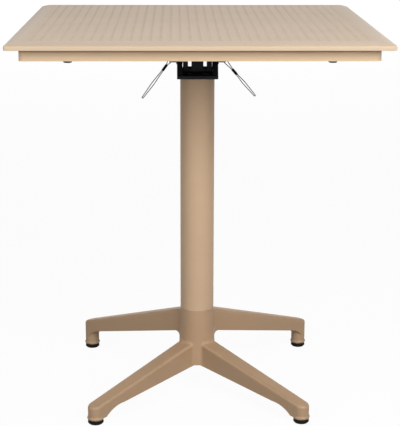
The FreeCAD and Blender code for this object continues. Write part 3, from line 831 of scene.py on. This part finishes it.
def rounded_copy(node: str, name: str, width: float, degrees: float = SHARP_DEGREES) -> Piece:
    """Copy a node of the frame as a new piece with its sharp edges rounded.

    Args:
        node: Name of the node.
        name: Name of the new piece.
        width: Width of the rounding in metres.
        degrees: Edges that turn by more than this are rounded.

    Returns:
        The new piece.
    """
    piece = merged_copy(node, name)
    bevel = piece.modifiers.new("edges", "BEVEL")
    bevel.width = width
    bevel.segments = ROUNDING_FACES
    bevel.limit_method = "ANGLE"
    bevel.angle_limit = math.radians(degrees)
    bevel.use_clamp_overlap = False
    apply_modifiers(piece)
    smooth(piece)
    return piece


def copy_to(piece: Piece, name: str, place: Vector, turn: float = 0.0) -> Piece:
    """Copy a piece that was modelled on the Z axis, with a mesh of its own.

    Args:
        piece: The piece.
        name: The copy's name.
        place: How far the copy is moved.
        turn: Angle about its own upright axis, in radians.

    Returns:
        The copy.
    """
    made = bpy.data.objects.new(name, piece.data.copy())
    bpy.context.scene.collection.objects.link(made)
    made.location = place
    made.rotation_euler = (0.0, 0.0, turn)
    only_select(made)
    bpy.ops.object.transform_apply(location=True, rotation=True, scale=True)
    return made


def discard(*pieces: Piece) -> None:
    """Delete helper pieces."""
    only_select(*pieces)
    bpy.ops.object.delete()


def dress(piece: Piece, material: Material) -> None:
    """Give a piece one material in place of what it has."""
    piece.data.materials.clear()
    piece.data.materials.append(material)


def dress_nodes(names: Sequence[str], material: Material) -> None:
    """Give nodes of the frame a material.

    Args:
        names: The nodes' names.
        material: The material.
    """
    for name in names:
        dress(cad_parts[name], material)
        LOG.info("%s wears %s", name, material.name)


def hand_over(piece: Piece, body: Body, slot: Slot, material: Material, *nodes: str) -> None:
    """Dress a new piece, put it on its body and hide the nodes that it stands for.

    Args:
        piece: The finished piece.
        body: The body that carries it.
        slot: The record's slot for the piece; not used.
        material: Its material.
        nodes: The nodes that it replaces.
    """
    dress(piece, material)
    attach(piece, body.value)
    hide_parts(*nodes)
    LOG.info("%s rides on %s with %d faces", piece.name, body.value, len(piece.data.polygons))


def raise_rings(start_radius: float, rings: Sequence[Ring]) -> None:
    """Extrude the selected face up along the Z axis, ring by ring, in edit mode.

    Args:
        start_radius: Radius of the selected face.
        rings: How far each ring rises, and its radius.
    """
    radius = start_radius
    for rise, next_radius in rings:
        scale = next_radius / radius
        bpy.ops.mesh.extrude_region_move(TRANSFORM_OT_translate={"value": (0, 0, rise)})
        bpy.ops.transform.resize(value=(scale, scale, 1), center_override=(0, 0, 0))
        radius = next_radius


def recalculate(piece: Piece) -> None:
    """Merge a piece's doubled points and turn its faces outwards.

    Args:
        piece: The piece.
    """
    edit(piece)
    bpy.ops.mesh.select_all(action="SELECT")
    bpy.ops.mesh.remove_doubles(threshold=MERGE_DISTANCE)
    bpy.ops.mesh.normals_make_consistent(inside=False)
    bpy.ops.object.mode_set(mode="OBJECT")


@dataclass
class ThreadedRod:
    """A rod with a metric thread over its whole length, modelled upright on the Z axis.

    The thread starts some pitches below the rod and ends above it, and is then cut to length.
    """

    name: str
    low: float
    high: float
    radius: float
    pitch: float
    sides: int
    cuts: int = 6
    depth_share: float = 0.541
    crest_share: float = 0.1
    flank_share: float = 0.25
    lead_pitches: float = 1.5
    extra_turns: int = 3

    def outline(self) -> Piece:
        """Model the thread's outline over one pitch: root, two flanks and a narrow crest.

        Returns:
            The outline, a row of edges.
        """
        depth = self.depth_share * self.pitch
        middle = self.low - self.lead_pitches * self.pitch
        only_select()
        bpy.ops.mesh.primitive_plane_add(size=self.pitch, rotation=(QUARTER_TURN, 0, 0))
        rod = bpy.context.object
        rod.name = self.name
        bpy.ops.object.transform_apply(location=True, rotation=True, scale=True)
        pick_points(rod, lambda place: place.x > 0)
        bpy.ops.mesh.delete(type="VERT")
        bpy.ops.mesh.select_all(action="SELECT")
        bpy.ops.mesh.subdivide(number_cuts=self.cuts)
        bpy.ops.mesh.select_all(action="SELECT")
        out = self.radius - depth + self.pitch / 2
        bpy.ops.transform.translate(value=(out, 0, middle))
        for share in (self.crest_share, self.flank_share):
            near = share * self.pitch
            pick_points(rod, lambda place: abs(place.z - middle) < near)
            bpy.ops.transform.translate(value=(depth / 2, 0, 0))
        bpy.ops.object.mode_set(mode="OBJECT")
        return rod

    def build(self) -> Piece:
        """Wind the outline up the rod and cut it to length.

        Returns:
            The rod.
        """
        rod = self.outline()
        turns = math.ceil((self.high - self.low) / self.pitch)
        screw = rod.modifiers.new("thread", "SCREW")
        screw.axis = "Z"
        screw.screw_offset = self.pitch
        screw.iterations = turns + self.extra_turns
        screw.steps = self.sides
        screw.render_steps = self.sides
        apply_modifiers(rod)
        recalculate(rod)
        for height, upward in ((self.low, -1), (self.high, 1)):
            edit(rod)
            bpy.ops.mesh.select_all(action="SELECT")
            bpy.ops.mesh.bisect(
                plane_co=(0, 0, height), plane_no=(0, 0, upward), use_fill=True, clear_outer=True
            )
        recalculate(rod)
        smooth(rod)
        return rod


@dataclass
class MouldedTop:
    """The square top: rim, skirt and ribs, with a field of round dimples pressed into its face.

    A ring of the rim is its distance from the middle and its depth below the top.
    """

    pitch: float = 0.0172
    dimples: int = 35
    mouth_radius: float = 0.0033
    mouth_sides: int = 12
    mouth_drop: float = 0.0003
    mouth_taper: float = 0.9
    floor_drop: float = 0.0009
    floor_taper: float = 0.9
    bumper_round: float = 0.0007
    rim_start: float = 0.328
    rim_rings: tuple[Ring, ...] = (
        (0.3338, 0.0130), (0.3347, 0.0127), (0.3350, 0.0118), (0.3350, 0.0067), (0.3347, 0.0057),
        (0.3338, 0.0049), (0.3300, 0.0036), (0.3240, 0.0017), (0.3195, 0.0005), (0.3150, 0.0),
    )

    def __post_init__(self) -> None:
        """Read the top's height from the frame."""
        self.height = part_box("tabletop")[1].z

    def dimple(self) -> Piece:
        """Model one cell of the field: a square of deck with a dimple in its middle.

        Returns:
            The cell, at the field's first corner.
        """
        start = -self.pitch * (self.dimples - 1) / 2
        centre = Vector((start, start, self.height))
        walls = ((self.mouth_drop, self.mouth_taper), (self.floor_drop, self.floor_taper))
        only_select()
        bpy.ops.mesh.primitive_plane_add(size=self.pitch, location=centre)
        cell = bpy.context.object
        cell.name = "dimple_field"
        bpy.ops.object.transform_apply(location=True, rotation=True, scale=True)
        edit(cell)
        bpy.ops.mesh.select_all(action="SELECT")
        bpy.ops.mesh.delete(type="ONLY_FACE")
        bpy.ops.mesh.primitive_circle_add(
            vertices=self.mouth_sides,
            radius=self.mouth_radius,
            fill_type="NOTHING",
            location=centre,
        )
        bpy.ops.mesh.select_all(action="SELECT")
        bpy.ops.mesh.fill(use_beauty=True)
        bpy.ops.mesh.select_mode(type="EDGE")
        self.pick_mouth(cell, centre)
        for drop, taper in walls:
            bpy.ops.mesh.extrude_edges_move(TRANSFORM_OT_translate={"value": (0, 0, -drop)})
            bpy.ops.transform.resize(value=(taper, taper, 1), center_override=centre)
        bpy.ops.mesh.edge_face_add()
        bpy.ops.object.mode_set(mode="OBJECT")
        return cell

    def pick_mouth(self, cell: Piece, centre: Vector) -> None:
        """Select the ring of edges round a dimple's mouth, and stay in edit mode.

        Args:
            cell: The cell.
            centre: Middle of the mouth.
        """
        bpy.ops.mesh.select_all(action="DESELECT")
        bpy.ops.object.mode_set(mode="OBJECT")
        limit = self.mouth_radius + MERGE_DISTANCE
        near = [(point.co - centre).length < limit for point in cell.data.vertices]
        for edge in cell.data.edges:
            edge.select = all(near[index] for index in edge.vertices)
        bpy.ops.object.mode_set(mode="EDIT")

    def field(self) -> Piece:
        """Repeat the cell over the whole field.

        Returns:
            The field of dimples.
        """
        cell = self.dimple()
        for name, step in (("row", (self.pitch, 0, 0)), ("column", (0, self.pitch, 0))):
            array = cell.modifiers.new(name, "ARRAY")
            array.count = self.dimples
            array.use_relative_offset = False
            array.use_constant_offset = True
            array.constant_offset_displace = step
            array.use_merge_vertices = True
            array.merge_threshold = MERGE_DISTANCE
        apply_modifiers(cell)
        return cell

    def shell(self) -> Piece:
        """Model the top: the moulding with its flat face swapped for the field of dimples.

        Returns:
            The top.
        """
        shell = merged_copy("tabletop", "moulded_top")
        self.roll_rim(shell)
        only_select(self.field(), shell)
        bpy.ops.object.join()
        pick_open_edges(shell)
        bpy.ops.mesh.fill(use_beauty=True)
        bpy.ops.mesh.select_all(action="SELECT")
        bpy.ops.mesh.normals_make_consistent(inside=False)
        smooth(shell)
        return shell

    def roll_rim(self, shell: Piece) -> None:
        """Swap the moulding's flat face and plain edge for an upright face and a sloping border.

        Args:
            shell: The moulding.
        """
        level = self.height - MERGE_DISTANCE
        underside = self.height - self.rim_rings[0][1]

        def is_edge(face: Face) -> bool:
            """Whether a face is on the flat top or on the outside of the rim.

            Args:
                face: The face.

            Returns:
                True if it comes off.
            """
            outwards = max(abs(face.center.x), abs(face.center.y))
            on_top = face.normal.z > FACING_UP and face.center.z > level
            outside = outwards > self.rim_start and face.normal.xy.dot(face.center.xy) > 0
            return on_top or (outside and face.center.z > underside + MERGE_DISTANCE)

        pick_faces(shell, is_edge)
        bpy.ops.mesh.delete(type="FACE")
        pick_open_edges(shell)
        bpy.ops.object.mode_set(mode="OBJECT")
        open_edges = [edge for edge in shell.data.edges if edge.select]
        points = shell.data.vertices
        reach = max(points[index].co.x for edge in open_edges for index in edge.vertices)
        bpy.ops.object.mode_set(mode="EDIT")
        height = underside
        for outwards, drop in self.rim_rings:
            rise = self.height - drop - height
            scale = outwards / reach
            bpy.ops.mesh.extrude_edges_move(TRANSFORM_OT_translate={"value": (0, 0, rise)})
            bpy.ops.transform.resize(value=(scale, scale, 1), center_override=(0, 0, 0))
            reach = outwards
            height += rise
        bpy.ops.object.mode_set(mode="OBJECT")

    def build(self, finishes: Finishes) -> None:
        """Model and dress the top and its bumpers.

        Args:
            finishes: The table's materials.
        """
        hand_over(self.shell(), Body.TOP, Slot.RESIN, finishes.resin, "tabletop")
        bumpers = rounded_copy("edge_bumpers", "rubber_bumpers", self.bumper_round)
        hand_over(bumpers, Body.TOP, Slot.RUBBER, finishes.rubber, "edge_bumpers")


@dataclass
class FlipHinge:
    """The cast hinge between column and top: head, bracket, axle, bushes and bracket screws.

    A ring of a screw's head is how far it rises and its radius.
    """

    cast_round: float = 0.0008
    crown_radius: float = 0.0034
    head_rings: tuple[Ring, ...] = ((0.0005, 0.0044), (0.0009, 0.005), (0.002, 0.005))
    shank_radius: float = 0.0025
    point_length: float = 0.001
    point_radius: float = 0.0006
    screw_sides: int = 24
    screw_smooth: float = 35.0
    recess: tuple[float, float, float] = (0.0012, 0.0058, 0.0042)
    recess_taper: float = 0.5
    screw_turns: tuple[float, ...] = (0.3, 1.0, 0.65, 1.35)

    def bar(self, bottom: float, turn: float) -> Piece:
        """Model one tapered bar of the cross recess in a screw head.

        Args:
            bottom: Height of the head's crown.
            turn: Angle of the bar in radians.

        Returns:
            The bar.
        """
        only_select()
        bpy.ops.mesh.primitive_cube_add(
            size=1, location=(0, 0, bottom), rotation=(0, 0, turn), scale=self.recess
        )
        bar = bpy.context.object
        bpy.ops.object.transform_apply(location=True, rotation=True, scale=True)
        pick_faces(bar, lambda face: face.normal.z > FACING_UP)
        taper = self.recess_taper
        bpy.ops.transform.resize(value=(taper, taper, 1), center_override=(0, 0, 0))
        bpy.ops.object.mode_set(mode="OBJECT")
        return bar

    def screw(self) -> Piece:
        """Model one pan-head screw upright on the Z axis, head down.

        Returns:
            The screw.
        """
        low, high = (corner.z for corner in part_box("bracket_screws"))
        head_height = sum(rise for rise, _ in self.head_rings)
        shank = high - low - head_height - self.point_length
        shank_rings = (
            (0.0, self.shank_radius),
            (shank, self.shank_radius),
            (self.point_length, self.point_radius),
        )
        only_select()
        bpy.ops.mesh.primitive_circle_add(
            vertices=self.screw_sides,
            radius=self.crown_radius,
            fill_type="NGON",
            location=(0, 0, low),
        )
        screw = bpy.context.object
        bpy.ops.object.transform_apply(location=True, rotation=True, scale=True)
        edit(screw)
        bpy.ops.mesh.select_all(action="SELECT")
        raise_rings(self.crown_radius, self.head_rings)
        raise_rings(self.head_rings[-1][1], shank_rings)
        recalculate(screw)
        bars = [self.bar(low, turn) for turn in (0.0, QUARTER_TURN)]
        for bar in bars:
            cut = screw.modifiers.new("recess", "BOOLEAN")
            cut.operation = "DIFFERENCE"
            cut.object = bar
        apply_modifiers(screw)
        discard(*bars)
        return screw

    def screws(self) -> Piece:
        """Copy the screw to the bracket's four corners.

        Returns:
            The four screws as one piece.
        """
        low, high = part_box("bracket_screws")
        head = self.head_rings[-1][1]
        across, along = (low.x + head, high.x - head), (low.y + head, high.y - head)
        places = [Vector((x, y, 0)) for x in across for y in along]
        first = self.screw()
        copies = [
            copy_to(first, "screw", place, turn) for place, turn in zip(places, self.screw_turns)
        ]
        discard(first)
        only_select(*copies)
        bpy.ops.object.join()
        screws = copies[-1]
        screws.name = "bracket_screw_heads"
        smooth(screws, self.screw_smooth)
        return screws

    def build(self, finishes: Finishes) -> None:
        """Model and dress the hinge.

        Args:
            finishes: The table's materials.
        """
        for node, name, body in (
            ("column_head", "hinge_head", Body.BASE),
            ("top_bracket", "flip_bracket", Body.TOP),
        ):
            casting = rounded_copy(node, name, self.cast_round)
            hand_over(casting, body, Slot.BLACK, finishes.black, node)
        hand_over(self.screws(), Body.TOP, Slot.STEEL, finishes.steel, "bracket_screws")
        dress_nodes(["hinge_axle"], finishes.steel)
        dress_nodes([f"hinge_bush_{side.value}" for side in Side], finishes.nylon)


@dataclass
class LockGear:
    """The spring-loaded lock pins with their sleeves, wire pull loops and ferrules."""

    ferrule_round: float = 0.0005
    ferrule_sharp: float = 60.0

    def build(self, finishes: Finishes) -> None:
        """Model and dress both sides.

        Args:
            finishes: The table's materials.
        """
        for side in Side:
            body = Body(f"loop_{side.value}")
            node, name = f"loop_ferrule_{side.value}", f"crimped_ferrule_{side.value}"
            ferrule = rounded_copy(node, name, self.ferrule_round, self.ferrule_sharp)
            hand_over(ferrule, body, Slot.NYLON, finishes.nylon, node)
            dress_nodes([f"lock_sleeve_{side.value}", f"lock_pin_{side.value}"], finishes.black)
            dress_nodes([f"lock_spring_{side.value}"], finishes.steel)
            dress_nodes([f"pull_loop_{side.value}"], finishes.wire)


@dataclass
class Column:
    """The round column tube and the threaded rod that clamps it between hub and hinge head."""

    thread_pitch: float = 0.00175
    thread_sides: int = 14
    washer_round: float = 0.0005
    nut_round: float = 0.0007

    def build(self, finishes: Finishes) -> None:
        """Model and dress the tube, rod, washer and nut.

        Args:
            finishes: The table's materials.
        """
        dress_nodes(["column_tube"], finishes.coat)
        low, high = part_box("tie_rod")
        radius = (high.x - low.x) / 2
        rod = ThreadedRod(
            "threaded_tie_rod", low.z, high.z, radius, self.thread_pitch, self.thread_sides
        )
        hand_over(rod.build(), Body.BASE, Slot.STEEL, finishes.rod_steel, "tie_rod")
        for node, name, width in (
            ("tie_rod_washer", "flat_washer", self.washer_round),
            ("tie_rod_nut", "hex_nut", self.nut_round),
        ):
            piece = rounded_copy(node, name, width)
            hand_over(piece, Body.BASE, Slot.STEEL, finishes.steel, node)


@dataclass
class CastBase:
    """The cast base: hub, two low front legs and two high rear legs."""

    node: str = "base_casting"

    def build(self, finishes: Finishes) -> None:
        """Dress the casting."""
        dress_nodes([self.node], finishes.shaded_cast_coat)


@dataclass
class LevellingGlides:
    """The four nylon glides with their threaded stems."""

    pad_round: float = 0.0006
    pad_sharp: float = 25.0
    thread_pitch: float = 0.00125
    thread_sides: int = 20

    def build(self, finishes: Finishes) -> None:
        """Model one stem, copy it to the four feet, and round and dress the pads.

        Args:
            finishes: The table's materials.
        """
        low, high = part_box(f"glide_stem_{Corner.FRONT_LEFT.value}")
        radius = (high.x - low.x) / 2
        rod = ThreadedRod("stem", low.z, high.z, radius, self.thread_pitch, self.thread_sides)
        stem = rod.build()
        for corner in Corner:
            body = Body(f"glide_{corner.value}")
            node = f"glide_stem_{corner.value}"
            middle = sum(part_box(node), Vector()) / 2
            middle.z = 0.0
            threaded = copy_to(stem, f"threaded_stem_{corner.value}", middle)
            hand_over(threaded, body, Slot.STEEL, finishes.rod_steel, node)
            node, name = f"glide_pad_{corner.value}", f"nylon_glide_{corner.value}"
            pad = rounded_copy(node, name, self.pad_round, self.pad_sharp)
            hand_over(pad, body, Slot.NYLON, finishes.nylon, node)
        discard(stem)


@dataclass(frozen=True)
class Lamp:
    """A square soft light, placed by its direction from the middle of the table, in degrees."""

    name: str
    azimuth: float
    elevation: float
    distance: float
    size: float
    watts: float
    gloss: bool = True

    def build(self, aim: Vector) -> None:
        """Add the lamp.

        Args:
            aim: The point that it faces.
        """
        turn, rise = math.radians(self.azimuth), math.radians(self.elevation)
        level = math.cos(rise)
        towards = Vector((math.sin(turn) * level, -math.cos(turn) * level, math.sin(rise)))
        data = bpy.data.lights.new(self.name, "AREA")
        data.size = self.size
        data.energy = self.watts
        lamp = bpy.data.objects.new(self.name, data)
        lamp.visible_camera = False
        lamp.visible_glossy = self.gloss
        lamp.location = aim + towards * self.distance
        lamp.rotation_euler = towards.to_track_quat("Z", "Y").to_euler()
        bpy.context.scene.collection.objects.link(lamp)


@dataclass
class Studio:
    """Floor, lights and the camera at the photograph's place."""

    camera_place: tuple[float, float, float] = (-0.04347, -2.5147, 1.03187)
    pitch_degrees: float = 14.873
    yaw: float = 0.0196
    roll: float = 0.0024
    focal_pixels: float = 1287.6
    image_long_side: float = 426.0
    sensor: float = 36.0
    floor_size: float = 30.0
    floor_seen: Colour = (0.92, 0.92, 0.92)
    floor_bounce: Colour = (0.3, 0.3, 0.3)
    floor_glow: float = 0.95
    floor_rough: float = 0.9
    floor_gloss: float = 0.1
    aim_height: float = 0.45
    lamps: tuple[Lamp, ...] = (
        Lamp("front_right", azimuth=32, elevation=28, distance=2.5, size=1.5, watts=49.5),
        Lamp("front_left", azimuth=-35, elevation=23, distance=2.5, size=1.5, watts=24.5),
        Lamp("behind", azimuth=180, elevation=13, distance=9, size=3.5, watts=510, gloss=False),
    )

    def camera(self) -> None:
        """Place the camera and make it the scene's."""
        pitch = math.radians(self.pitch_degrees)
        level = math.cos(pitch)
        ahead = Vector((math.sin(self.yaw) * level, math.cos(self.yaw) * level, -math.sin(pitch)))
        side = Vector((math.cos(self.yaw), -math.sin(self.yaw), 0.0))
        right = side * math.cos(self.roll) + side.cross(ahead) * math.sin(self.roll)
        up = right.cross(ahead)
        data = bpy.data.cameras.new("camera")
        data.sensor_width = self.sensor
        data.lens = self.focal_pixels * self.sensor / self.image_long_side
        lens = bpy.data.objects.new("camera", data)
        turn = Matrix((right, up, -ahead)).transposed().to_4x4()
        lens.matrix_world = Matrix.Translation(Vector(self.camera_place)) @ turn
        bpy.context.scene.collection.objects.link(lens)
        bpy.context.scene.camera = lens

    def floor(self) -> None:
        """Lay a plain floor, nearly white to the camera, that throws little light back."""
        only_select()
        bpy.ops.mesh.primitive_plane_add(size=self.floor_size)
        floor = bpy.context.object
        floor.name = "floor"
        material, graph = new_finish("pale_floor")
        seen = graph.seen_white()
        graph.surface(
            Base_Color=graph.mix(seen, self.floor_bounce, self.floor_seen),
            Roughness=self.floor_rough,
            Specular_IOR_Level=self.floor_gloss,
        )
        plain = Value(graph, graph.shader.outputs[0])
        glow = graph.node("ShaderNodeEmission", inputs={"Color": WHITE, "Strength": 1.0})
        inputs = {0: seen * self.floor_glow, 1: plain, 2: glow}
        mixed = graph.node("ShaderNodeMixShader", inputs=inputs)
        graph.feed(graph.tree.nodes["Material Output"].inputs["Surface"], mixed)
        dress(floor, material)

    def world(self) -> None:
        """Put up a backdrop that is white to the camera and in gloss, and lights nothing else."""
        world = bpy.data.worlds.new("studio")
        bpy.context.scene.world = world
        graph = Graph(world, "Background")
        graph.surface(Color=WHITE, Strength=graph.seen_white())

    def build(self) -> None:
        """Set up the whole studio."""
        self.camera()
        self.floor()
        self.world()
        for lamp in self.lamps:
            lamp.build(Vector((0.0, 0.0, self.aim_height)))
        bpy.context.scene.view_settings.view_transform = "Standard"


def main() -> None:
    """Build the studio and the table's sub-assemblies in order."""
    logging.basicConfig(level=logging.INFO, format="%(message)s")
    Studio().build()
    finishes = Finishes()
    table = (MouldedTop(), FlipHinge(), LockGear(), Column(), CastBase(), LevellingGlides())
    for assembly in table:
        assembly.build(finishes)
        LOG.info("%s is built", type(assembly).__name__)


if __name__ == "__main__":
    main()
